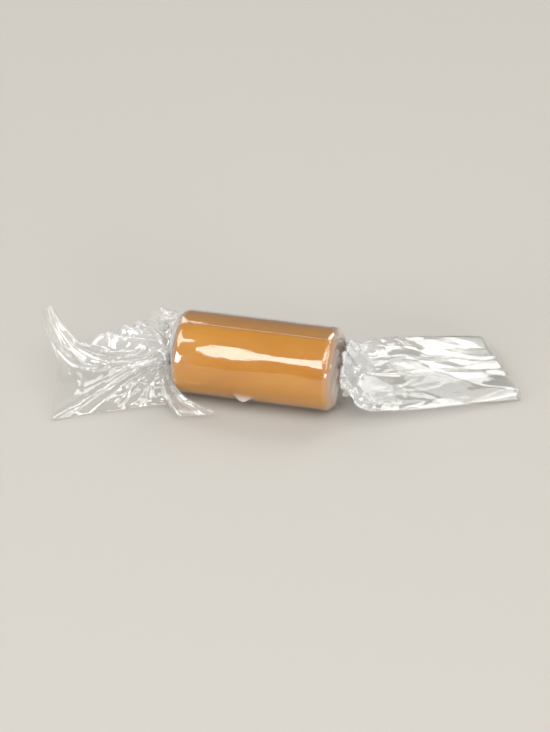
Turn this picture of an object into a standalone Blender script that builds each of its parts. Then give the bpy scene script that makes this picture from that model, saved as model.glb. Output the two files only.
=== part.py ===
"""A twist-wrapped caramel candy: a caramel log in a lapped sheet of clear film, twisted shut at its ends.

Units are metres, +Z is up and +X runs along the candy towards the long, flat tail. The origin is
the middle of the small flat spot that the candy rests on.
"""

import math
from itertools import pairwise

import bmesh
import bpy
from mathutils import Matrix, Vector

MM = 0.001

# The caramel log.
CARAMEL_RADIUS = 6.3 * MM
CARAMEL_HALF_LENGTH = 12.3 * MM
END_ROUND = 1.9 * MM  # radius of the log's end edges
END_SEGMENTS = 4
LOG_SIDES = 40
SLUMP = 0.25 * MM  # how far the round underside is pressed flat

# The film. Its wall is drawn thicker than real film so that it is a solid.
CLEARANCE = 0.3 * MM  # air between the log and the film, and between the film's two lapped layers
WALL = 0.3 * MM
FILM_RADIUS = CARAMEL_RADIUS + CLEARANCE + WALL
LAP_STEP = WALL + CLEARANCE  # how much further out the lapped layer lies
AXIS_HEIGHT = FILM_RADIUS - SLUMP

# Angles round the log run from the front (-Y) over the top to the back.
FREE_EDGE = math.radians(75)
LAP = math.radians(110)
LAP_RAMP = math.radians(22)  # where the outer layer climbs over the inner edge
LAP_HALF_LENGTH = 10.8 * MM  # the lap is open this far each way, and sealed by the twists beyond

# The loft that makes the film's outside.
LOOP_POINTS = 73
LOOP_GAP = math.radians(1.2)  # between a loop's last point and its first, the slope of the free edge
PLEATS = 9
SHOULDER_PLEAT = 0.09  # depth of the gathers, as a share of the radius, where they are deepest
SHOULDER = [  # (distance along X from the middle, share of the film's radius)
    (11.6 * MM, 1.0),
    (12.9 * MM, 0.965),
    (13.45 * MM, 0.86),
    (13.65 * MM, 0.66),
    (13.85 * MM, 0.45),
]
NECK_START = 14.1 * MM
NECK_LENGTH = 1.6 * MM
NECK_STEPS = 9
NECK_RADIUS = 1.9 * MM
NECK_PLEAT = 0.22
NECK_TWIST = math.radians(250)
FLOOR_GAP = 0.1 * MM  # no tail comes nearer than this to the surface that the candy rests on

# Each tail opens from the neck into a bell, and flattens from there out to its cut edge, the rim.
BELL_SHARE = 1 / 3  # the part of the stretch before "flat_from" in which the neck widens to the bell
PLEATS_FULL = 0.62  # the part of the way out over which the tail's pleats grow
TAPER = 3.0  # how blunt the tail's two side edges are
# The rim's corners run from the front of the tail to the back. Each one is its share of the way,
# from -1 to 1, and its place in millimetres: X, Y and the height above the resting surface.
FAN = {  # the tail at -X: an open, pleated fan that turns to the front, its back edge raised
    "side": -1,
    "rim": [
        (-1.0, (-16.5, -9.6, 0.6)),
        (-0.45, (-28.2, -15.2, 0.6)),
        (0.25, (-35.3, 4.2, 8.8)),
        (0.6, (-25.5, 5.2, 9.6)),
        (1.0, (-17.2, 7.4, 11.6)),
    ],
    "steps": 9,
    "bell": 2.8 * MM,
    "flat_from": 0.45,
    "opening": 0.4,
    "thick": 0.9 * MM,
    "pleat": 0.9 * MM,
    "folds": 9,
}
RIBBON = {  # the tail at +X: a flattened tube that turns to the back and lies down, cut straight
    "side": 1,
    "rim": [
        (-1.0, (40.6, 7.6, 1.6)),
        (1.0, (32.0, 21.4, 2.4)),
    ],
    "steps": 11,
    "bell": 4.7 * MM,
    "flat_from": 0.42,
    "opening": 3.8,
    "thick": 1.4 * MM,
    "pleat": 0.5 * MM,
    "folds": 5,
}


def smooth(share):
    """0 to 1 with a level start and end."""
    share = min(max(share, 0.0), 1.0)
    return share * share * (3 - 2 * share)


def zigzag(turns):
    """A triangle wave between -1 and 1 that repeats once a turn."""
    return 4 * abs((turns + 0.25) % 1.0 - 0.5) - 1


def wrap_angles():
    """The angle of each point of a loop, from the free edge once round the candy."""
    step = (2 * math.pi - LOOP_GAP) / (LOOP_POINTS - 1)
    return [FREE_EDGE + step * i for i in range(LOOP_POINTS)]


def around(radius, angle):
    """A point of the cross-section: front at angle 0, top at a quarter turn."""
    return Vector((0.0, -radius * math.cos(angle), radius * math.sin(angle)))


def lap_height(past_edge):
    """How far the outside stands out at this angle past the free edge, because two layers lie there."""
    return LAP_STEP * (1 - smooth((past_edge - LAP) / LAP_RAMP))


def film_section(x, share, twist, pleat):
    """The film's outside round the body, the shoulder or the neck. share scales the radius."""
    points = []
    for angle in wrap_angles():
        radius = FILM_RADIUS + lap_height(angle - FREE_EDGE)
        radius *= share * (1 + pleat * zigzag(PLEATS * (angle - FREE_EDGE) / (2 * math.pi)))
        point = around(radius, angle + twist)
        point.z = max(point.z, -AXIS_HEIGHT)
        points.append(point + Vector((x, 0.0, AXIS_HEIGHT)))
    return points


def rim_point(tail, share):
    """The point of the cut edge at this share of the way from the tail's front corner to its back one."""
    for (low, first), (high, second) in pairwise(tail["rim"]):
        if share <= high:
            break
    return Vector(first).lerp(Vector(second), (share - low) / (high - low)) * MM


def tail_section(tail, out, twist):
    """One loop of the tail, out of the way from the neck to the rim: first round, then a pleated plate."""
    start = Vector((tail["side"] * (NECK_START + NECK_LENGTH), 0.0, AXIS_HEIGHT))
    middle = rim_point(tail, 0.0)
    centre = start.lerp(middle, out)
    spread = (1 - math.exp(-out * tail["opening"])) / (1 - math.exp(-tail["opening"]))
    flatness = smooth(out / tail["flat_from"])
    widened = smooth(out / (tail["flat_from"] * BELL_SHARE))
    radius = NECK_RADIUS + (tail["bell"] - NECK_RADIUS) * widened
    points = []
    for angle in wrap_angles():
        share = zigzag(angle / (2 * math.pi) % 1.0 + 0.25)
        face = math.sin(angle)
        fold = zigzag(tail["folds"] * (share + 1) / 2) * tail["pleat"] * smooth(out / PLEATS_FULL)
        thick = tail["thick"] / 2 * min(1.0, TAPER * abs(face)) * (1 if face > 0 else -1)
        flat = centre + (rim_point(tail, share) - middle) * spread
        flat.z += fold + thick
        ridge = 1 + NECK_PLEAT * zigzag(PLEATS * (angle - FREE_EDGE) / (2 * math.pi))
        point = (centre + around(radius * ridge, angle + twist)).lerp(flat, flatness)
        point.z = max(point.z, FLOOR_GAP)
        points.append(point)
    return points


def end_sections(tail):
    """The loops of one end of the film, from the body's shoulder out to the cut edge of the tail."""
    side = tail["side"]
    sections = []
    for i, (x, share) in enumerate(SHOULDER):
        gather = SHOULDER_PLEAT * i / (len(SHOULDER) - 1)
        sections.append(film_section(side * x, share, 0.0, gather))
    for i in range(NECK_STEPS):
        passed = i / NECK_STEPS
        x = side * (NECK_START + NECK_LENGTH * passed)
        share = NECK_RADIUS / FILM_RADIUS
        sections.append(film_section(x, share, side * NECK_TWIST * passed, NECK_PLEAT))
    for i in range(tail["steps"] + 1):
        out = i / tail["steps"]
        turned = NECK_TWIST + (2 * math.pi - NECK_TWIST) * smooth(out / tail["flat_from"])
        sections.append(tail_section(tail, out, side * turned))
    return sections


def lofted(sections):
    """A closed mesh through the sections, by extruding a ring from each one to the next."""
    shape = bmesh.new()
    ring = bmesh.ops.create_circle(shape, segments=len(sections[0]), radius=1.0)["verts"]
    for vert, place in zip(ring, sections[0], strict=True):
        vert.co = place
    first = list(shape.edges)
    edges = first
    for section in sections[1:]:
        made = bmesh.ops.extrude_edge_only(shape, edges=edges)["geom"]
        ring = [g for g in made if isinstance(g, bmesh.types.BMVert)]
        ring_set = set(ring)
        for vert, place in zip(ring, section, strict=True):
            vert.co = place
        edges = [
            g for g in made
            if isinstance(g, bmesh.types.BMEdge) and set(g.verts) <= ring_set
        ]
    for rim in (first, edges):
        cap = bmesh.ops.contextual_create(shape, geom=rim)["faces"]
        bmesh.ops.triangulate(shape, faces=cap)
    bmesh.ops.recalc_face_normals(shape, faces=shape.faces)
    if shape.calc_volume(signed=True) < 0:
        bmesh.ops.reverse_faces(shape, faces=shape.faces)
    return shape


def log_shape(radius, half_length, flat_at):
    """A round log along X with rounded end edges, its underside pressed flat at z = flat_at."""
    shape = bmesh.new()
    bmesh.ops.create_cone(
        shape, cap_ends=True, segments=LOG_SIDES, radius1=radius, radius2=radius, depth=2 * half_length
    )
    rims = [e for e in shape.edges if abs(e.verts[0].co.z - e.verts[1].co.z) < radius / 100]
    bmesh.ops.bevel(
        shape, geom=rims, offset=END_ROUND, segments=END_SEGMENTS, profile=0.5,
        affect="EDGES", material=-1,
    )
    bmesh.ops.rotate(shape, verts=shape.verts, matrix=Matrix.Rotation(math.pi / 2, 3, "Y"))
    bmesh.ops.translate(shape, verts=shape.verts, vec=(0.0, 0.0, AXIS_HEIGHT))
    for vert in shape.verts:
        vert.co.z = max(vert.co.z, flat_at)
    bmesh.ops.remove_doubles(shape, verts=shape.verts, dist=0.001 * MM)
    return shape


def lap_slit():
    """The air between the film's two lapped layers, from the log's hollow out past the free edge."""
    under = FILM_RADIUS - WALL
    past = FREE_EDGE - math.radians(6)
    inner_edge = FREE_EDGE + LAP
    steps = 24
    lap = [past + (inner_edge - past) * i / steps for i in range(steps + 1)]
    ramp = [inner_edge + LAP_RAMP * i / 6 for i in range(1, 6)]
    outer_line = [around(FILM_RADIUS + CLEARANCE, a) for a in lap]
    outer_line += [around(under + lap_height(a - FREE_EDGE), a) for a in ramp]
    inner_line = [around(under - CLEARANCE / 2, a) for a in [*reversed(ramp), inner_edge]]
    inner_line += [around(FILM_RADIUS, a) for a in reversed(lap)]
    shape = bmesh.new()
    outline = [
        shape.verts.new(p + Vector((-LAP_HALF_LENGTH, 0.0, AXIS_HEIGHT)))
        for p in outer_line + inner_line
    ]
    face = shape.faces.new(outline)
    made = bmesh.ops.extrude_face_region(shape, geom=[face])["geom"]
    moved = [g for g in made if isinstance(g, bmesh.types.BMVert)]
    bmesh.ops.translate(shape, verts=moved, vec=(2 * LAP_HALF_LENGTH, 0.0, 0.0))
    bmesh.ops.recalc_face_normals(shape, faces=shape.faces)
    return shape


def material(name, colour, roughness, alpha=1.0):
    made = bpy.data.materials.new(name)
    made.use_nodes = True
    shader = made.node_tree.nodes["Principled BSDF"]
    shader.inputs["Base Color"].default_value = (*colour, 1.0)
    shader.inputs["Roughness"].default_value = roughness
    shader.inputs["Metallic"].default_value = 0.0
    shader.inputs["Alpha"].default_value = alpha
    return made


def object_from(shape, name, finish=None):
    mesh = bpy.data.meshes.new(name)
    shape.to_mesh(mesh)
    shape.free()
    made = bpy.data.objects.new(name, mesh)
    bpy.context.scene.collection.objects.link(made)
    if finish:
        mesh.materials.append(finish)
        mesh.shade_smooth()
        mesh.set_sharp_from_angle(angle=math.radians(35))
    return made


def cut(target, shape, name):
    """Takes a shape out of the target with a Boolean, and keeps the cutter as a hidden guide."""
    cutter = object_from(shape, name)
    cutter.hide_render = True
    cutter.display_type = "WIRE"
    boolean = target.modifiers.new(name, "BOOLEAN")
    boolean.operation = "DIFFERENCE"
    boolean.solver = "EXACT"
    boolean.object = cutter


def make_caramel(finish):
    shape = log_shape(CARAMEL_RADIUS, CARAMEL_HALF_LENGTH, WALL + CLEARANCE)
    return object_from(shape, "caramel", finish)


def make_wrapper(finish):
    """The film: one skin from cut edge to cut edge, hollowed for the log and open along its lap."""
    left = end_sections(FAN)
    right = end_sections(RIBBON)
    wrapper = object_from(lofted([*reversed(left), *right]), "wrapper", finish)
    hollow = log_shape(CARAMEL_RADIUS + CLEARANCE, CARAMEL_HALF_LENGTH + CLEARANCE, WALL)
    cut(wrapper, hollow, "wrapper_hollow")
    cut(wrapper, lap_slit(), "wrapper_lap")
    return wrapper


def main():
    for old in list(bpy.data.objects):
        bpy.data.objects.remove(old)
    candy = bpy.data.objects.new("wrapped_caramel_candy", None)
    bpy.context.scene.collection.objects.link(candy)
    caramel_finish = material("caramel", (0.60, 0.27, 0.06), 0.45)
    film_finish = material("clear_film", (0.93, 0.92, 0.90), 0.08, alpha=0.35)
    for piece in (make_caramel(caramel_finish), make_wrapper(film_finish)):
        piece.parent = candy


main()
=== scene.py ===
# %% [markdown]
# # A caramel in twisted clear film
#
# The sweet is a short log of soft caramel, 25 mm long, rolled up in a sheet of clear film. The film
# laps over itself along the top. Both ends of it are twisted shut, and past each twist the film
# opens again: into a pleated fan on the left, and into a long flat ribbon on the right.
#
# There are two pieces to make, the caramel and the film. Each one takes the place of a plain solid
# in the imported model, which gives every size and place here.

import math

import bmesh
import bpy
import numpy as np
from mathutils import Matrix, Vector, noise
from mathutils.geometry import delaunay_2d_cdt


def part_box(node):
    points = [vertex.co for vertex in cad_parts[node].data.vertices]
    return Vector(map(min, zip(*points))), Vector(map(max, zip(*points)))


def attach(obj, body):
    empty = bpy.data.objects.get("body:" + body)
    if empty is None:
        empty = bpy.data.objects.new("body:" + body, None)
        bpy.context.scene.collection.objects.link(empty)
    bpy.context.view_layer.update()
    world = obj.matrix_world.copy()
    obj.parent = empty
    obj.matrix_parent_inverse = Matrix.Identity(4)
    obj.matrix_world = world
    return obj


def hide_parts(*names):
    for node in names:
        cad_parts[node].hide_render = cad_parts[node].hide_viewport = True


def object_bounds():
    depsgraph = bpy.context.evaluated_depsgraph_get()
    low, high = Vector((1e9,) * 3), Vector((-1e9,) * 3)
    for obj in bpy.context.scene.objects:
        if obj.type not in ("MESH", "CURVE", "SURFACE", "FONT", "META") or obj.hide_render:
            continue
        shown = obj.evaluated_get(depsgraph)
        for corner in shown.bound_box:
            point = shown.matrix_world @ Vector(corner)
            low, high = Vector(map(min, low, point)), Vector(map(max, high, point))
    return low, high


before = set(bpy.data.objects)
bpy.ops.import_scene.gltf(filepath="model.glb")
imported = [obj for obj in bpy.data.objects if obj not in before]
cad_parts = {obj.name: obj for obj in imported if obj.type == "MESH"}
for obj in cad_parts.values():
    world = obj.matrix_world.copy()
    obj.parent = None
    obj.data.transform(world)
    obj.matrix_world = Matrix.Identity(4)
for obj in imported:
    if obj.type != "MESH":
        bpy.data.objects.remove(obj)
cad_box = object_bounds()
MM = 0.001
print("packed pieces:", sorted(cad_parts))
print("packed box in mm:", [[round(x / MM, 1) for x in corner] for corner in cad_box])

# %% [markdown]
# ## The camera
#
# A long lens from 70 cm away keeps the log's two edges nearly parallel, as in a product picture. The
# camera stands a little to the right of the sweet and looks down at it, so that the log's axis
# slopes down to the right.

# %% Camera
CAMERA_TURN = math.radians(13)
CAMERA_HEIGHT = math.radians(33)
CAMERA_DISTANCE = 0.7
VIEW_WIDTH = 86 * MM  # what the frame's width takes in
FRAME_SHAPE = 732 / 550
LOOK_AT = 0.4  # the share of the height that the camera aims at

low, high = cad_box
target = Vector(((low.x + high.x) / 2, 0.0, high.z * LOOK_AT))
back = Vector((
    math.sin(CAMERA_TURN) * math.cos(CAMERA_HEIGHT),
    -math.cos(CAMERA_TURN) * math.cos(CAMERA_HEIGHT),
    math.sin(CAMERA_HEIGHT),
))
camera = bpy.data.objects.new("camera", bpy.data.cameras.new("camera"))
bpy.context.scene.collection.objects.link(camera)
camera.location = target + back * CAMERA_DISTANCE
camera.rotation_mode = "QUATERNION"
camera.rotation_quaternion = (-back).to_track_quat("-Z", "Y")
camera.data.lens = camera.data.sensor_width * CAMERA_DISTANCE / (VIEW_WIDTH * FRAME_SHAPE)
camera.data.dof.use_dof = False
bpy.context.scene.camera = camera
print("lens in mm:", round(camera.data.lens))

# %% [markdown]
# ## Floor and light
#
# Clear film is seen by what it mirrors. Under even light it would vanish, so the room is dim and
# soft lamps stand round the sweet, with gaps between them that the film mirrors as grey. The lamp in
# front of the sweet draws the long streak on the log, and it is oval so that the streak has soft
# ends. The two low cards lift the log's shaded underside. The cards at the back draw glints in the
# tails. The floor is matt, because a glossy one would glare when seen from low down at the back.

# %% Floor and light
def area_lamp(name, turn, height, distance, size, power, shape="RECTANGLE"):
    """A lamp that faces the sweet. turn and height are in degrees, as for the camera."""
    turn, height = math.radians(turn), math.radians(height)
    away = Vector((
        math.sin(turn) * math.cos(height),
        -math.cos(turn) * math.cos(height),
        math.sin(height),
    ))
    lamp = bpy.data.lights.new(name, "AREA")
    lamp.shape = shape
    lamp.size, lamp.size_y = size
    lamp.energy = power
    made = bpy.data.objects.new(name, lamp)
    bpy.context.scene.collection.objects.link(made)
    made.location = target + away * distance
    made.rotation_mode = "QUATERNION"
    made.rotation_quaternion = (-away).to_track_quat("-Z", "Y")


area_lamp("streak_lamp", turn=-12, height=41, distance=0.9, size=(0.40, 0.30), power=1.6, shape="ELLIPSE")
area_lamp("front_top_lamp", turn=16, height=60, distance=0.8, size=(0.24, 0.40), power=1.2)
area_lamp("top_right_lamp", turn=68, height=74, distance=0.8, size=(0.40, 0.40), power=0.9)
area_lamp("back_right_card", turn=160, height=46, distance=0.8, size=(0.34, 0.52), power=2.2)
area_lamp("back_left_card", turn=226, height=42, distance=0.8, size=(0.24, 0.44), power=0.9)
area_lamp("front_left_lamp", turn=-68, height=44, distance=0.8, size=(0.46, 0.36), power=2.3)
area_lamp("front_right_lamp", turn=64, height=42, distance=0.8, size=(0.50, 0.46), power=2.1)
area_lamp("low_left_card", turn=-44, height=10, distance=0.8, size=(0.40, 0.24), power=3.2)
area_lamp("low_right_card", turn=40, height=10, distance=0.8, size=(0.40, 0.24), power=3.2)

ROOM_LIGHT = 0.24
world = bpy.data.worlds.new("pale_room")
world.use_nodes = True
room = world.node_tree.nodes["Background"]
room.inputs["Color"].default_value = (0.96, 0.94, 0.91, 1.0)
room.inputs["Strength"].default_value = ROOM_LIGHT
bpy.context.scene.world = world

FLOOR_HALF = 2.0
shape = bmesh.new()
bmesh.ops.create_grid(shape, x_segments=1, y_segments=1, size=FLOOR_HALF)
floor_mesh = bpy.data.meshes.new("floor")
shape.to_mesh(floor_mesh)
shape.free()
floor = bpy.data.objects.new("floor", floor_mesh)
bpy.context.scene.collection.objects.link(floor)
floor_finish = bpy.data.materials.new("pale_floor")
floor_finish.use_nodes = True
floor_shader = floor_finish.node_tree.nodes["Principled BSDF"]
floor_shader.inputs["Base Color"].default_value = (0.44, 0.42, 0.385, 1.0)
floor_shader.inputs["Roughness"].default_value = 0.9
floor_shader.inputs["Specular IOR Level"].default_value = 0.1
floor_mesh.materials.append(floor_finish)

bpy.context.scene.view_settings.view_transform = "Standard"
bpy.context.scene.cycles.transparent_max_bounces = 64
bpy.context.scene.cycles.max_bounces = 16
bpy.context.scene.cycles.glossy_bounces = 6
bpy.context.scene.cycles.caustics_reflective = False
bpy.context.scene.cycles.caustics_refractive = False

# %% [markdown]
# ## Sizes of the log
#
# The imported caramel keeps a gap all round, so that it and its wrapper stay separate solids. Real
# film clings to the sweet, so the caramel here fills that gap, and the film lies right on it.

# %% Sizes
caramel_low, caramel_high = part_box("caramel")
SIDE_FILL = 0.2 * MM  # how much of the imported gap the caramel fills, at its side and its ends
END_FILL = 0.25 * MM
CARAMEL_RADIUS = (caramel_high.y - caramel_low.y) / 2 + SIDE_FILL
CARAMEL_HALF = (caramel_high.x - caramel_low.x) / 2 + END_FILL
CLING = 0.1 * MM  # from the caramel to the middle of the film
FILM_RADIUS = CARAMEL_RADIUS + CLING
SLUMP = 0.2 * MM  # how far the soft log has settled on its underside
AXIS = FILM_RADIUS - SLUMP
print("log in mm: radius", round(CARAMEL_RADIUS / MM, 2), "half length", round(CARAMEL_HALF / MM, 2))

# %% [markdown]
# ## Where the film is drawn tight
#
# Pulling on the two ends draws the film tight, and it presses the soft caramel a little flat along
# the upper front, with a low ridge where the flat ends. That is little more than a tenth of a
# millimetre, but a mirrored lamp shows it at once: over a flat the bright streak is broad, and over a
# ridge it is a thread. Towards the left end the front also curves in, by 0.9 mm at the very end,
# which turns the mirror away and lets the streak run out in a point.

# %% Flats and taper
TIGHT_ANGLE = math.radians(37)  # from the front over the top
TIGHT_SPREAD = math.radians(11)
TIGHT_DEPTH = [  # place along the log and depth, both in mm; below zero is a ridge
    (-12.5, -0.02), (-9.0, 0.03), (-6.0, 0.14), (-2.0, 0.14),
    (1.0, 0.04), (5.2, -0.14), (8.5, -0.05), (11.5, 0.04),
]
TAPER_SPREAD = math.radians(40)
TAPER_START = -3.6 * MM
TAPER_CURVE = 0.022 / MM  # how fast the slope grows towards the left end


def pressed_in(x, angle):
    """How far the log and its film lie inside a plain cylinder, at this place along and round it."""
    off = (angle - TIGHT_ANGLE + math.pi) % (2 * math.pi) - math.pi
    flat = np.interp(x / MM, *zip(*TIGHT_DEPTH)) * np.exp(-((off / TIGHT_SPREAD) ** 2) / 2)
    past_start = min(x - TAPER_START, 0.0)
    taper = TAPER_CURVE * past_start ** 2 / 2 * np.exp(-((off / TAPER_SPREAD) ** 2) / 2)
    return flat * MM + taper


print("deepest flat in mm:", max(depth for place, depth in TIGHT_DEPTH))
print("left end curves in by, in mm:", round(pressed_in(-CARAMEL_HALF, TIGHT_ANGLE) / MM, 2))

# %% [markdown]
# ## The caramel
#
# Caramel is extruded as a rope and cut into logs. The cut ends are nearly flat, their edges are
# rounded by handling, and the side is never quite true. The half outline of a log is spun once
# round the X axis, which gives even quads, and then every point moves by a little smooth noise. The
# underside is pressed flat, as soft caramel settles.

# %% Model the caramel
def object_from(shape, name):
    """A mesh object from a bmesh, smooth shaded."""
    mesh = bpy.data.meshes.new(name)
    shape.to_mesh(mesh)
    shape.free()
    mesh.shade_smooth()
    made = bpy.data.objects.new(name, mesh)
    bpy.context.scene.collection.objects.link(made)
    return made


CARAMEL_EDGE = 1.1 * MM  # how round the log's end edges are
CARAMEL_TURNS = 128
EDGE_STEPS = 10
SIDE_STEPS = 70

END_RINGS = (0.0, 0.35, 0.6)  # rings on the flat end, as shares of the radius
outline = [(-CARAMEL_HALF, ring * CARAMEL_RADIUS) for ring in END_RINGS]
for i in range(EDGE_STEPS):
    rounding = math.pi / 2 * i / EDGE_STEPS
    outline.append((
        -CARAMEL_HALF + CARAMEL_EDGE * (1 - math.cos(rounding)),
        CARAMEL_RADIUS - CARAMEL_EDGE * (1 - math.sin(rounding)),
    ))
straight = CARAMEL_HALF - CARAMEL_EDGE
half_steps = SIDE_STEPS // 2
outline += [(-straight + straight * i / half_steps, CARAMEL_RADIUS) for i in range(half_steps)]
outline += [(0.0, CARAMEL_RADIUS)] + [(-x, r) for x, r in reversed(outline)]

shape = bmesh.new()
corners = [shape.verts.new((x, 0.0, r)) for x, r in outline]
edges = [shape.edges.new(pair) for pair in zip(corners, corners[1:])]
bmesh.ops.spin(
    shape, geom=corners + edges, axis=(1.0, 0.0, 0.0), cent=(0.0, 0.0, 0.0),
    angle=2 * math.pi, steps=CARAMEL_TURNS, use_merge=True,
)
bmesh.ops.remove_doubles(shape, verts=shape.verts, dist=0.001 * MM)
bmesh.ops.recalc_face_normals(shape, faces=shape.faces)
SWELL, SWELL_SCALE = 0.04, 0.16  # height in mm, and waves to each mm
DIMPLE, DIMPLE_SCALE = 0.015, 0.7
for vert in shape.verts:
    p = vert.co / MM
    swell = SWELL * noise.noise(p * SWELL_SCALE) + DIMPLE * noise.noise(p * DIMPLE_SCALE) - SWELL
    from_axis = Vector((0.0, vert.co.y, vert.co.z))
    fullness = from_axis.length / CARAMEL_RADIUS
    pressed = pressed_in(vert.co.x, math.atan2(vert.co.z, -vert.co.y))
    vert.co += from_axis.normalized() * fullness * (swell * MM - pressed)
    vert.co.z = max(vert.co.z + AXIS, CLING)
caramel = object_from(shape, "caramel_log")
print("caramel faces:", len(caramel.data.polygons))

# %% [markdown]
# ## Tools for the finishes
#
# Both finishes are built from shader nodes. These few helpers make a material, add a node with its
# settings, lay noise over the piece in its own space, and turn a factor into a colour.

# %% Helpers for node materials
def new_material(name):
    made = bpy.data.materials.new(name)
    made.use_nodes = True
    return made, made.node_tree, made.node_tree.nodes["Principled BSDF"]


def add(tree, kind, **settings):
    """A new node, with its plain properties and its inputs set by name."""
    node = tree.nodes.new(kind)
    for name, value in settings.items():
        if hasattr(node, name):
            setattr(node, name, value)
        else:
            node.inputs[name.replace("_", " ")].default_value = value
    return node


def stretched_noise(tree, places, stretch, scale, detail=3.0, roughness=0.5):
    """Noise in object space, stretched by these factors along X, Y and Z."""
    mapping = add(tree, "ShaderNodeMapping", Scale=stretch)
    tree.links.new(places.outputs["Object"], mapping.inputs["Vector"])
    grain = add(tree, "ShaderNodeTexNoise", Scale=scale, Detail=detail, Roughness=roughness)
    tree.links.new(mapping.outputs["Vector"], grain.inputs["Vector"])
    return grain


def ramp(tree, source, stops):
    """A colour ramp on a factor, from (position, colour) stops."""
    made = add(tree, "ShaderNodeValToRGB")
    elements = made.color_ramp.elements
    while len(elements) < len(stops):
        elements.new(0.5)
    for element, (position, colour) in zip(elements, stops):
        element.position = position
        element.color = (*colour, 1.0)
    tree.links.new(source, made.inputs["Fac"])
    return made


print("at a scale of 1000 one cell of the noise is", 1 / 1000 / MM, "mm wide")

# %% [markdown]
# ## What caramel looks like
#
# Cooked sugar and milk give a tan that is lighter where light passes through it and browner in the
# mass. The surface is satin, not glossy, with faint draw lines along the log from the extruder and
# tiny pits. A little subsurface light softens the shading and warms the shadow side.

# %% Finish of the caramel
caramel_finish, tree, shader = new_material("soft_caramel")
caramel_places = add(tree, "ShaderNodeTexCoord")
clouds = stretched_noise(tree, caramel_places, (0.5, 1.0, 1.0), 160.0)
tint = ramp(tree, clouds.outputs["Fac"], [
    (0.30, (0.425, 0.156, 0.003)),
    (0.52, (0.475, 0.192, 0.005)),
    (0.75, (0.517, 0.225, 0.010)),
])
tree.links.new(tint.outputs["Color"], shader.inputs["Base Color"])
extruder_lines = stretched_noise(tree, caramel_places, (0.05, 1.0, 1.0), 2600.0, detail=2.0)
pits = stretched_noise(tree, caramel_places, (1.0, 1.0, 1.0), 3800.0, detail=4.0)
extruder_bump = add(tree, "ShaderNodeBump", Strength=0.25, Distance=0.06 * MM)
pit_bump = add(tree, "ShaderNodeBump", Strength=0.2, Distance=0.04 * MM)
tree.links.new(extruder_lines.outputs["Fac"], extruder_bump.inputs["Height"])
tree.links.new(pits.outputs["Fac"], pit_bump.inputs["Height"])
tree.links.new(extruder_bump.outputs["Normal"], pit_bump.inputs["Normal"])
tree.links.new(pit_bump.outputs["Normal"], shader.inputs["Normal"])
sheen_map = add(tree, "ShaderNodeMapRange", To_Min=0.28, To_Max=0.40)
tree.links.new(clouds.outputs["Fac"], sheen_map.inputs["Value"])
tree.links.new(sheen_map.outputs["Result"], shader.inputs["Roughness"])
shader.inputs["Specular IOR Level"].default_value = 0.35
shader.inputs["Subsurface Weight"].default_value = 0.25
shader.inputs["Subsurface Radius"].default_value = (1.0, 0.45, 0.15)
shader.inputs["Subsurface Scale"].default_value = 1.8 * MM
caramel.data.materials.append(caramel_finish)
print("caramel finish:", len(tree.nodes), "nodes")

# %% [markdown]
# ## The sheet of film
#
# A wrapping machine cuts a rectangle of film, rolls it round the log and twists its two ends. The
# model starts as that rectangle too: one flat grid, whose rows run round the sweet and whose
# columns run along it. Every row then becomes one loop of the wrapped sheet. A single grid keeps
# the film one sheet, with a free edge along the lap and a cut edge on each tail, which a lathed or
# sculpted shape would lose.
#
# Rows are named by their station. It runs from 0 in the middle of the log to 1 where the log's
# side ends, 2 at the neck, 3 where the tail starts and 4 at the cut edge, and it is negative on the
# left. Columns are named by their share of the way round, from 0 at the free edge to 1 at the edge
# that lies underneath.

# %% Rows and columns
ROUND_POINTS = 152
STATIONS = (-4, -3, -2, -1, 1, 2, 3, 4)
ROWS_AT = (0, 92, 102, 134, 178, 210, 220, 318)
# Where the stations lie along the flat sheet, in mm.
SHEET_AT = (-39.5, -19.5, -18.0, -11.45, 11.45, 18.0, 19.5, 47.0)
SHEET_WIDTH = 54.0  # in mm

station = np.interp(np.arange(ROWS_AT[-1] + 1), ROWS_AT, STATIONS)
along_sheet = np.interp(station, STATIONS, SHEET_AT)
share = np.linspace(0.0, 1.0, ROUND_POINTS + 1)
across_sheet = share * SHEET_WIDTH
FREE_EDGE = math.radians(75)  # from the front over the top
WRAP = math.radians(470)  # once round and the lap
wrap_angle = FREE_EDGE + WRAP * share
print("rows:", len(station), "columns:", len(share))

# %% [markdown]
# ## Round the log
#
# Over the log the film is a tight tube, pressed in where the log is. The outer layer of the lap rides
# on the inner one, and drops onto the log just past the hidden edge. At each end the tube turns in
# over the log's edge and draws down close to the end face to the neck, where the twist grips it. The
# gathers on the end face start to turn well before the neck, so they lie in a swirl.

# %% Loops round the log
BODY_HALF = 11.45 * MM
LAP_ANGLE = WRAP - 2 * math.pi
LAP_RAMP = math.radians(14)
LAP_GAP = 0.1 * MM
SHOULDER = [  # place along the log in mm, and share of the radius
    (11.45, 1.0), (12.05, 0.976), (12.49, 0.909), (12.66, 0.818),
    (12.74, 0.66), (12.88, 0.48), (13.4, 0.28),
]
NECK_START, NECK_END = 13.4 * MM, 13.9 * MM
NECK_RADIUS = 0.28 * FILM_RADIUS
TWIST = 2 * math.pi
SWIRL = math.radians(70)  # how far the gathers on the end face turn before the neck
SWIRL_FROM = 1.2  # the station where they start to turn


def smooth(x):
    """0 to 1 with a level start and end."""
    x = np.clip(x, 0.0, 1.0)
    return x * x * (3 - 2 * x)


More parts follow.
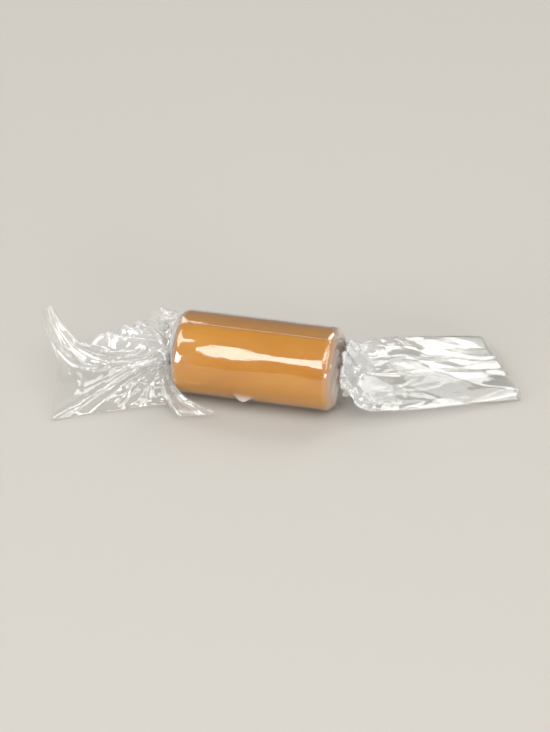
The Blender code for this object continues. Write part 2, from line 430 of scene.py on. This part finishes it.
def curve_through(points, x):
    """A point of the smooth curve through these points, for x from 0 to 1."""
    points = np.array(points)
    place = x * (len(points) - 1)
    i = min(int(place), len(points) - 2)
    f = place - i
    before = points[max(i - 1, 0)]
    after = points[min(i + 2, len(points) - 1)]
    a, b = points[i], points[i + 1]
    leave, arrive = (b - before) / 2, (after - a) / 2
    return (
        (2 * f**3 - 3 * f**2 + 1) * a + (f**3 - 2 * f**2 + f) * leave
        + (-2 * f**3 + 3 * f**2) * b + (f**3 - f**2) * arrive
    )


def loop_round(x, radius, turned=0.0):
    """A loop round the log's axis: one point for each column."""
    angles = wrap_angle + turned
    y, z = -radius * np.cos(angles), AXIS + radius * np.sin(angles)
    return np.stack([np.full_like(angles, x), y, z], axis=1)


def lap_lift():
    """How far each column stands out because the lap's other layer is under it."""
    past = wrap_angle - FREE_EDGE
    return LAP_GAP * (1 - smooth((past - LAP_ANGLE) / LAP_RAMP))


def round_loop(at):
    """The loop at a station from -3 to 3."""
    side, at = (1 if at > 0 else -1), abs(at)
    if at <= 1:
        x = side * at * BODY_HALF
        return loop_round(x, FILM_RADIUS + lap_lift() - pressed_in(x, wrap_angle))
    if at <= 2:
        x, width = curve_through(SHOULDER, at - 1)
        x = side * x * MM
        swirled = side * SWIRL * smooth((at - SWIRL_FROM) / (2 - SWIRL_FROM))
        return loop_round(x, width * (FILM_RADIUS + lap_lift() - pressed_in(x, wrap_angle)), swirled)
    x = NECK_START + (NECK_END - NECK_START) * (at - 2)
    return loop_round(side * x, NECK_RADIUS, side * (SWIRL + (TWIST - SWIRL) * (at - 2)))


# %% [markdown]
# ## The tails
#
# A tail is set out by a few corners on its cut edge. Each one has its share of the way from the
# tail's front to its back, the place that it reaches, and the place that the film bends towards on
# its way out. The film between is a quadratic curve for every column, so pleats run along it as
# they do in the real tail. Near the neck the loop is still round: a small bell that opens and
# flattens. The fan is one layer spread in depth, with a tongue that stands up from its middle. The
# ribbon keeps both layers of the tube, one over the other, and opens wider before it flattens.

# %% Set out the tails
FAN = {
    "side": -1,
    "corners": [  # share, reach in mm, bend in mm
        (-1.00, (-4.7, -8.2, 0.9), (-14.0, -7.0, 3.2)),
        (-0.90, (-9.9, -10.0, 0.7), (-15.0, -6.5, 3.2)),
        (-0.80, (-12.0, -6.6, 0.6), (-15.5, -5.0, 4.4)),
        (-0.68, (-15.8, -7.8, 0.4), (-17.0, -5.5, 3.4)),
        (-0.25, (-29.4, -15.0, 0.5), (-21.0, -6.5, 4.4)),
        (-0.08, (-31.0, -5.0, 4.8), (-23.0, -5.5, 3.6)),
        (0.02, (-35.8, 3.0, 8.8), (-30.5, -9.0, -1.6)),
        (0.07, (-35.3, 5.0, 8.2), (-29.5, -5.0, -3.4)),
        (0.13, (-34.9, 5.2, 8.6), (-28.0, -3.5, 0.2)),
        (0.20, (-29.2, 1.2, 3.8), (-22.0, 0.5, 4.4)),
        (0.26, (-28.6, 3.8, 3.6), (-22.0, 1.5, 8.0)),
        (0.44, (-25.4, 7.6, 2.2), (-20.5, 3.2, 10.0)),
        (0.62, (-23.0, 9.5, 3.0), (-18.5, 3.4, 11.6)),
        (0.76, (-20.0, 7.5, 6.4), (-17.2, 3.0, 11.4)),
        (0.88, (-16.8, 5.0, 11.2), (-16.0, 2.6, 9.4)),
        (1.00, (-14.7, 6.4, 9.6), (-14.6, 3.6, 8.6)),
    ],
    "share": 1 - 2 * share,  # where each column lies, from the tail's front (-1) to its back (1)
    "layer": np.zeros_like(share),  # how high each column lies in the tail's thickness; 0 is one layer
    "spread": (0.0, 1.6, 1.6),  # how far from the neck's middle the outer columns start, in mm
    "bell": 2.3 * MM,  # the bell's radius
    "flat_from": 0.16,  # how far out, as a share, the bell has become flat
}
ring = np.abs(((wrap_angle / (2 * math.pi) + 0.5) % 1.0) * 2 - 1)
RIBBON = {
    "side": 1,
    "corners": [
        (-1.00, (40.6, 7.4, 0.8), (16.2, -7.2, 1.2)),
        (1.00, (31.8, 21.2, 2.0), (16.2, 10.4, 7.2)),
    ],
    "share": ring * 2 - 1,
    "layer": np.sin(wrap_angle),
    "spread": (0.0, 3.0, 3.3),
    "bell": 4.4 * MM,
    "flat_from": 0.36,
}


OUT_POWER = 1.25  # rows are closer together near the neck than near the cut edge
BELL_SHARE = 0.16  # the part of the stretch before "flat_from" in which the neck widens to the bell
DEPTH_AT_NECK = 1.9  # half the ribbon's thickness, in mm
DEPTH_LOST = 1.3  # how much of that is gone at the cut edge


def corner_values(tail, which):
    """The corners' reach (1) or bend (2), spread over every column of the tail."""
    at = [corner[0] for corner in tail["corners"]]
    spots = np.array([corner[which] for corner in tail["corners"]]) * MM
    return np.stack([np.interp(tail["share"], at, spots[:, k]) for k in range(3)], axis=1)


def tail_loop(tail, at):
    """The loop at a station from 3 to 4 of this tail."""
    out = (abs(at) - 3) ** OUT_POWER
    start = np.array([tail["side"] * NECK_END, 0.0, AXIS])
    start = start + tail["share"][:, None] * np.array(tail["spread"]) * MM
    reach, bend = corner_values(tail, 1), corner_values(tail, 2)
    flat = (1 - out) ** 2 * start + 2 * out * (1 - out) * bend + out**2 * reach
    flatness = smooth(out / tail["flat_from"])
    depth = (DEPTH_AT_NECK - DEPTH_LOST * out) * MM
    flat[:, 2] += tail["layer"] * depth * flatness * np.sqrt(np.clip(1 - tail["share"] ** 2, 0.0, 1.0))
    widened = NECK_RADIUS + (tail["bell"] - NECK_RADIUS) * smooth(out / (BELL_SHARE * tail["flat_from"]))
    turned = tail["side"] * TWIST
    centre_x = flat[:, 0].mean()
    ring_loop = loop_round(centre_x, widened, turned)
    ring_loop[:, 1:] += flat[:, 1:].mean(axis=0) - np.array([0.0, AXIS])
    return ring_loop + (flat - ring_loop) * flatness


places_of_film = np.array([
    round_loop(v) if abs(v) <= 3 else tail_loop(RIBBON if v > 0 else FAN, v) for v in station
])
print("film spans in mm:", (places_of_film.max((0, 1)) - places_of_film.min((0, 1))) / MM)

# %% [markdown]
# ## Pleats and crumples
#
# Film hardly stretches. Where it is drawn in, the spare width folds into pleats that run from the
# log's edge, through the twist and out along the tail. The pleats here are shallower than real ones,
# so they show where the folds run but don't take up all of that width. Where film has been pinched
# it crumples into small flat facets with sharp edges between them.
#
# All relief is added along the sheet's own normals. A pleat is a zigzag over the columns, the same
# all the way along one end. A crumple takes random points on the flat sheet, joins them into
# triangles, and gives each point a height, which makes facets and not the soft bumps of ordinary
# noise. A crease is one straight ridge, set where a tail has a single long fold. A blister is loose
# film that stands off the log. The small one under the front is hollowed on one side, to hint at a
# curled edge.
#
# Film also turns white where it is bent sharply, so the same relief says how white it is. That white is
# partly real whitening and partly painted highlight, which stands in for glints along folds, in the
# crushed fan and at the bells; on the blister it is painted highlight only. Each point gets some haze for
# its station, and more where the relief bends, is crushed or is loose.

# %% Kinds of relief
rng = np.random.default_rng(7)


def pleats(narrowest, widest):
    """A zigzag over the columns between -1 and 1, with folds of uneven width and depth."""
    at, heights, sign = [0], [0.0], 1
    while at[-1] < ROUND_POINTS:
        at.append(at[-1] + int(rng.integers(narrowest, widest + 1)))
        heights.append(sign * rng.uniform(0.35, 1.0))
        sign = -sign
    return np.interp(np.arange(ROUND_POINTS + 1), at, heights)


def crumple(spacing):
    """Facets between random points of the sheet, with heights between -1 and 1."""
    low = np.array([along_sheet[0], across_sheet[0]]) - spacing
    high = np.array([along_sheet[-1], across_sheet[-1]]) + spacing
    count = int(np.prod(high - low) / spacing**2)
    points = rng.uniform(low, high, (count, 2))
    points = np.vstack([points, [low, high, (low[0], high[1]), (high[0], low[1])]])
    heights = rng.uniform(-1, 1, len(points))
    triangles = delaunay_2d_cdt([Vector(p) for p in points], [], [], 0, 1e-6)[2]
    relief = np.zeros((len(along_sheet), len(across_sheet)))
    for triangle in triangles:
        (ax, ay), (bx, by), (cx, cy) = points[triangle]
        rows = slice(*np.searchsorted(along_sheet, (min(ax, bx, cx), max(ax, bx, cx))))
        columns = slice(*np.searchsorted(across_sheet, (min(ay, by, cy), max(ay, by, cy))))
        x, y = along_sheet[rows, None], across_sheet[None, columns]
        whole = (by - cy) * (ax - cx) + (cx - bx) * (ay - cy)
        first = ((by - cy) * (x - cx) + (cx - bx) * (y - cy)) / whole
        second = ((cy - ay) * (x - cx) + (ax - cx) * (y - cy)) / whole
        third = 1 - first - second
        inside = (first >= 0) & (second >= 0) & (third >= 0)
        a, b, c = heights[triangle]
        height = first * a + second * b + third * c
        relief[rows, columns][inside] = height[inside]
    return relief


def crease(start, end, flank, height):
    """A straight ridge between two places on the flat sheet, with flanks this wide, all in mm."""
    reach = math.dist(start, end)
    ahead = (along_sheet[:, None] - start[0]) * (end[0] - start[0]) / reach
    ahead = ahead + (across_sheet - start[1]) * (end[1] - start[1]) / reach
    aside = (along_sheet[:, None] - start[0]) * (end[1] - start[1]) / reach
    aside = aside - (across_sheet - start[1]) * (end[0] - start[0]) / reach
    beyond = np.maximum(np.maximum(-ahead, ahead - reach), 0.0)
    return height * np.clip(1 - np.hypot(aside, beyond) / flank, 0.0, 1.0)


def blister(place, reach, height):
    """A rounded blister of loose film, with its reach along and across the flat sheet, all in mm."""
    along = (along_sheet[:, None] - place[0]) / reach[0]
    across = (across_sheet - place[1]) / reach[1]
    return height * np.clip(1 - np.hypot(along, across)**2, 0.0, 1.0) ** 2


def by_station(values):
    """A column of numbers, one for each row, from values given at stations."""
    stations, heights = zip(*values)
    return np.interp(station, stations, heights)[:, None]


print("sheet in mm:", round(along_sheet[-1] - along_sheet[0], 1), "x", round(across_sheet[-1], 1))

# %% [markdown]
# ## How deep the relief is, and where
#
# Each kind of relief has its depth in mm at some stations, and is blended between them. Over the log
# all of them fade to almost nothing, since film drawn tight has hardly a crease. The fan is crumpled
# hardest in its rear part, where it has been crushed. Past its bell the ribbon keeps little but large
# facets.

# %% Depths of the relief
fan_pleats, ribbon_pleats = pleats(3, 8), pleats(3, 9)
fan_pleats = fan_pleats * np.interp(
    FAN["share"], (-1.0, -0.8, -0.65, 0.0, 0.15, 1.0), (1.0, 0.9, 0.45, 0.45, 1.2, 1.2)
)
folds = np.where(station[:, None] < 0, fan_pleats, ribbon_pleats)
pleat_depth = by_station([
    (-4.0, 0.40), (-3.7, 0.55), (-3.3, 0.6), (-3.1, 0.45), (-2.0, 0.4), (-1.6, 0.3), (-1.3, 0.08),
    (-0.9, 0.0), (0.9, 0.0), (1.3, 0.08), (1.6, 0.3), (2.0, 0.4), (3.0, 0.45), (3.2, 0.6),
    (3.45, 0.15), (4.0, 0.06),
])
# Over the log the pleats only stand outwards, or they would cut into the caramel.
kept_out = by_station([(-2.5, 0.0), (-2.0, 1.0), (2.0, 1.0), (2.5, 0.0)])
large_depth = by_station([
    (-4.0, 0.55), (-3.5, 0.55), (-3.0, 0.3), (-2.0, 0.1), (-1.3, 0.02), (-0.9, 0.004),
    (0.9, 0.004), (1.3, 0.02), (2.0, 0.1), (3.0, 0.3), (3.5, 0.4), (4.0, 0.3),
])
small_depth = by_station([
    (-4.0, 0.10), (-3.75, 0.25), (-3.4, 0.42), (-3.1, 0.35), (-2.0, 0.1), (-1.2, 0.02), (-0.9, 0.005),
    (0.9, 0.005), (1.2, 0.02), (2.0, 0.1), (3.1, 0.4), (3.3, 0.4), (3.5, 0.12), (4.0, 0.06),
])
pinched_depth = by_station([(1.3, 0.0), (1.7, 0.12), (2.0, 0.2), (3.0, 0.3), (3.3, 0.3), (3.45, 0.0)])
crushed_rows = by_station([(-4.0, 0.3), (-3.75, 0.9), (-3.5, 1.0), (-3.05, 1.0), (-2.9, 0.0)])
crushed = crushed_rows * np.interp(
    FAN["share"], (-1.0, -0.8, -0.7, -0.15, 0.0, 0.14, 0.2, 1.0), (0.5, 0.5, 0.1, 0.1, 0.3, 0.4, 1.0, 1.0)
)
# How far apart each crumple's points are, in mm.
LARGE_FACETS, SMALL_FACETS = 6.0, 1.9
CRUSHED_LARGE, CRUSHED_SMALL, PINCHED_FACETS = 4.4, 1.8, 1.2
CRUSHED_LARGE_DEPTH, CRUSHED_SMALL_DEPTH = 1.7, 0.6
relief = (
    pleat_depth * (folds + kept_out)
    + large_depth * crumple(LARGE_FACETS)
    + small_depth * crumple(SMALL_FACETS)
    + crushed * (CRUSHED_LARGE_DEPTH * crumple(CRUSHED_LARGE) + CRUSHED_SMALL_DEPTH * crumple(CRUSHED_SMALL))
    + pinched_depth * crumple(PINCHED_FACETS)
    + crease((37.0, 45.5), (49.0, 31.5), flank=3.4, height=1.0)
    + crease((-40.0, 39.0), (-34.5, 28.5), flank=3.0, height=0.6)
)
print("relief before the blister, in mm:", relief.min().round(2), relief.max().round(2))

# %% [markdown]
# ## Where the film is white, and where it is painted highlight
#
# Bending is read off the relief as its second differences: none on a flat facet, much on a fold. The
# white put on folds is partly real whitening and partly painted highlight.
# The stations add a haze of their own, most at the necks, where the film is wrung into a rope and
# hides everything behind it. At the bells and over the end faces this haze is partly painted
# highlight, in place of glints.

# %% Whitening and painted highlight
def bending(heights, axis):
    """How sharply the relief bends along one axis of the grid."""
    return np.abs(np.gradient(np.gradient(heights, axis=axis), axis=axis))


# White added per mark: crushed and bent film partly real whitening and partly painted glint, loose film
# painted highlight.
CRUSHED_WHITE_AND_GLINT, BENT_WHITE_AND_GLINT, LOOSE_PAINTED_GLINT = 0.15, 1.5, 0.9
# Bent film is made white, partly as real whitening and partly as painted highlight along the folds.
bent = bending(relief, 0) + bending(relief, 1)
# Haze by station: partly real milky gathering, and at the bells and end faces partly painted highlight.
station_haze_and_glint = by_station([
    (-4.0, 0.03), (-3.6, 0.06), (-3.0, 0.2), (-2.0, 0.5), (-1.4, 0.25), (-1.15, 0.08), (-1.0, 0.0),
    (1.0, 0.0), (1.15, 0.08), (1.35, 0.26), (1.8, 0.38), (2.0, 0.55), (2.9, 0.85), (3.14, 0.8),
    (3.3, 0.4), (3.5, 0.08), (3.8, 0.06), (4.0, 0.03),
])
# The blister's loose film is also made white, a painted highlight for the glint on its curled edge.
stood_off = blister((-1.0, 29.4), (1.8, 1.4), 1.0)
hollowed = blister((-0.9, 30.1), (1.3, 0.9), 1.0)
loose = np.maximum(stood_off - hollowed, 0.0)
# The white mask: partly real whitening of the film and partly painted highlight that stands in for glints.
whitening_and_painted_glint = np.clip(
    station_haze_and_glint + CRUSHED_WHITE_AND_GLINT * crushed + BENT_WHITE_AND_GLINT * bent + LOOSE_PAINTED_GLINT * loose, 0.0, 1.0
)
print("share of the film that is more than half white:", (whitening_and_painted_glint > 0.5).mean().round(3))

# %% [markdown]
# ## Lift the relief onto the sheet
#
# The normal at each point is the cross product of the grid's two directions there. They are turned
# to point away from the log, and the film is kept just above the floor.

# %% Add the relief
relief += loose
normals = np.cross(np.gradient(places_of_film, axis=0), np.gradient(places_of_film, axis=1))
normals /= np.maximum(np.linalg.norm(normals, axis=2, keepdims=True), 1e-12)
middle = len(station) // 2
if (normals[middle] * (places_of_film[middle] - (0.0, 0.0, AXIS))).sum() < 0:
    normals = -normals
places_of_film += normals * (relief * MM)[:, :, None]
FLOOR_GAP = 0.03 * MM
places_of_film[:, :, 2] = np.maximum(places_of_film[:, :, 2], FLOOR_GAP)
print("relief in mm:", relief.min().round(2), relief.max().round(2))

# %% [markdown]
# ## Make the film
#
# The flat grid is one operator call. Its corners carry their row and column in X and Y, so each one
# can look up its place. A Solidify modifier then gives the sheet its thickness, which closes the
# mesh and makes a real edge along each cut.

# %% Model the film
FILM_THICKNESS = 0.04 * MM

shape = bmesh.new()
bmesh.ops.create_grid(shape, x_segments=len(station) - 1, y_segments=len(share) - 1, size=1.0)
# Each corner also carries the white mask, which is partly real whitening and partly painted highlight.
whitened_and_glint = shape.verts.layers.float.new("whitened_and_glint")
for vert in shape.verts:
    row = round((vert.co.x + 1) / 2 * (len(station) - 1))
    column = round((vert.co.y + 1) / 2 * (len(share) - 1))
    vert.co = places_of_film[row, column]
    vert[whitened_and_glint] = whitening_and_painted_glint[row, column]
film = object_from(shape, "film_wrapper")
wall = film.modifiers.new("thickness", "SOLIDIFY")
wall.thickness = FILM_THICKNESS
wall.offset = 0.0
print("film faces:", len(film.data.polygons))

# %% [markdown]
# ## What clear film looks like
#
# Film this thin lets nearly everything through. What is seen is the light that its two faces
# mirror, little when looked at squarely and nearly all of it at a glancing angle, and a faint haze.
# A Layer Weight node gives the angle, the same from both sides, and a fifth power turns it into the
# share that is mirrored. The haze scatters white light, most of it back and some of it through, and
# there is more of it where the mesh marks the film as white. That extra white is partly real whitening
# and partly painted highlight at folds, in the crushed fan, at the bells and on the blister. Two very
# low bumps break up what is mirrored: slow ripples, and finer draw lines that run along the film.

# %% Finish of the film
HEAD_ON = 0.055  # the share of light that one face mirrors when looked at squarely
HAZE = 0.006
# How much white haze the mask adds. This is partly real whitening and partly painted highlight.
WHITE_AND_GLINT_HAZE = 0.42

film_finish, tree, shader = new_material("clear_film")
tree.nodes.remove(shader)
glancing = add(tree, "ShaderNodeLayerWeight", Blend=0.5)
steep = add(tree, "ShaderNodeMath", operation="POWER")
steep.inputs[1].default_value = 5.0
mirrored = add(tree, "ShaderNodeMath", operation="MULTIPLY_ADD")
mirrored.inputs[1].default_value = 1 - HEAD_ON
mirrored.inputs[2].default_value = HEAD_ON
tree.links.new(glancing.outputs["Facing"], steep.inputs[0])
tree.links.new(steep.outputs[0], mirrored.inputs[0])
clear = add(tree, "ShaderNodeBsdfTransparent", Color=(0.985, 0.985, 0.98, 1.0))
mirror = add(tree, "ShaderNodeBsdfAnisotropic", Color=(1.0, 1.0, 1.0, 1.0), Roughness=0.06)
film_places = add(tree, "ShaderNodeTexCoord")
ripples = stretched_noise(tree, film_places, (1.0, 1.0, 1.0), 420.0, detail=3.0)
draw_lines = stretched_noise(tree, film_places, (0.3, 1.0, 1.0), 1800.0, detail=2.0)
line_bump = add(tree, "ShaderNodeBump", Strength=0.3, Distance=0.05 * MM)
ripple_bump = add(tree, "ShaderNodeBump", Strength=0.5, Distance=0.05 * MM)
tree.links.new(draw_lines.outputs["Fac"], line_bump.inputs["Height"])
tree.links.new(line_bump.outputs["Normal"], ripple_bump.inputs["Normal"])
tree.links.new(ripples.outputs["Fac"], ripple_bump.inputs["Height"])
tree.links.new(ripple_bump.outputs["Normal"], mirror.inputs["Normal"])
milk = add(tree, "ShaderNodeBsdfDiffuse", Color=(0.95, 0.95, 0.94, 1.0))
glow = add(tree, "ShaderNodeBsdfTranslucent", Color=(0.95, 0.95, 0.94, 1.0))
scatter = add(tree, "ShaderNodeMixShader", Fac=0.25)
tree.links.new(milk.outputs[0], scatter.inputs[1])
tree.links.new(glow.outputs[0], scatter.inputs[2])
haze_and_glint_mix = add(tree, "ShaderNodeMixShader")
shiny = add(tree, "ShaderNodeMixShader")
# The white mask, partly real whitening and partly painted highlight standing in for glints.
white_and_glint_mask = add(tree, "ShaderNodeAttribute", attribute_name="whitened_and_glint")
haze_and_glint_amount = add(tree, "ShaderNodeMath", operation="MULTIPLY_ADD")
haze_and_glint_amount.inputs[1].default_value = WHITE_AND_GLINT_HAZE
haze_and_glint_amount.inputs[2].default_value = HAZE
tree.links.new(white_and_glint_mask.outputs["Fac"], haze_and_glint_amount.inputs[0])
tree.links.new(haze_and_glint_amount.outputs[0], haze_and_glint_mix.inputs["Fac"])
tree.links.new(clear.outputs[0], haze_and_glint_mix.inputs[1])
tree.links.new(scatter.outputs[0], haze_and_glint_mix.inputs[2])
tree.links.new(mirrored.outputs[0], shiny.inputs["Fac"])
tree.links.new(haze_and_glint_mix.outputs[0], shiny.inputs[1])
tree.links.new(mirror.outputs[0], shiny.inputs[2])
tree.links.new(shiny.outputs[0], tree.nodes["Material Output"].inputs["Surface"])
film.data.materials.append(film_finish)
print("film finish:", len(tree.nodes), "nodes")

# %% [markdown]
# ## Put the pieces in the model
#
# Both pieces move with the model's only body, and the imported solid that each stands for is hidden.

# %% Ride and replace
for piece, node, slot in ((caramel, "caramel", "caramel"), (film, "wrapper", "clear_film")):
    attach(piece, "root")
    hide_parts(node)
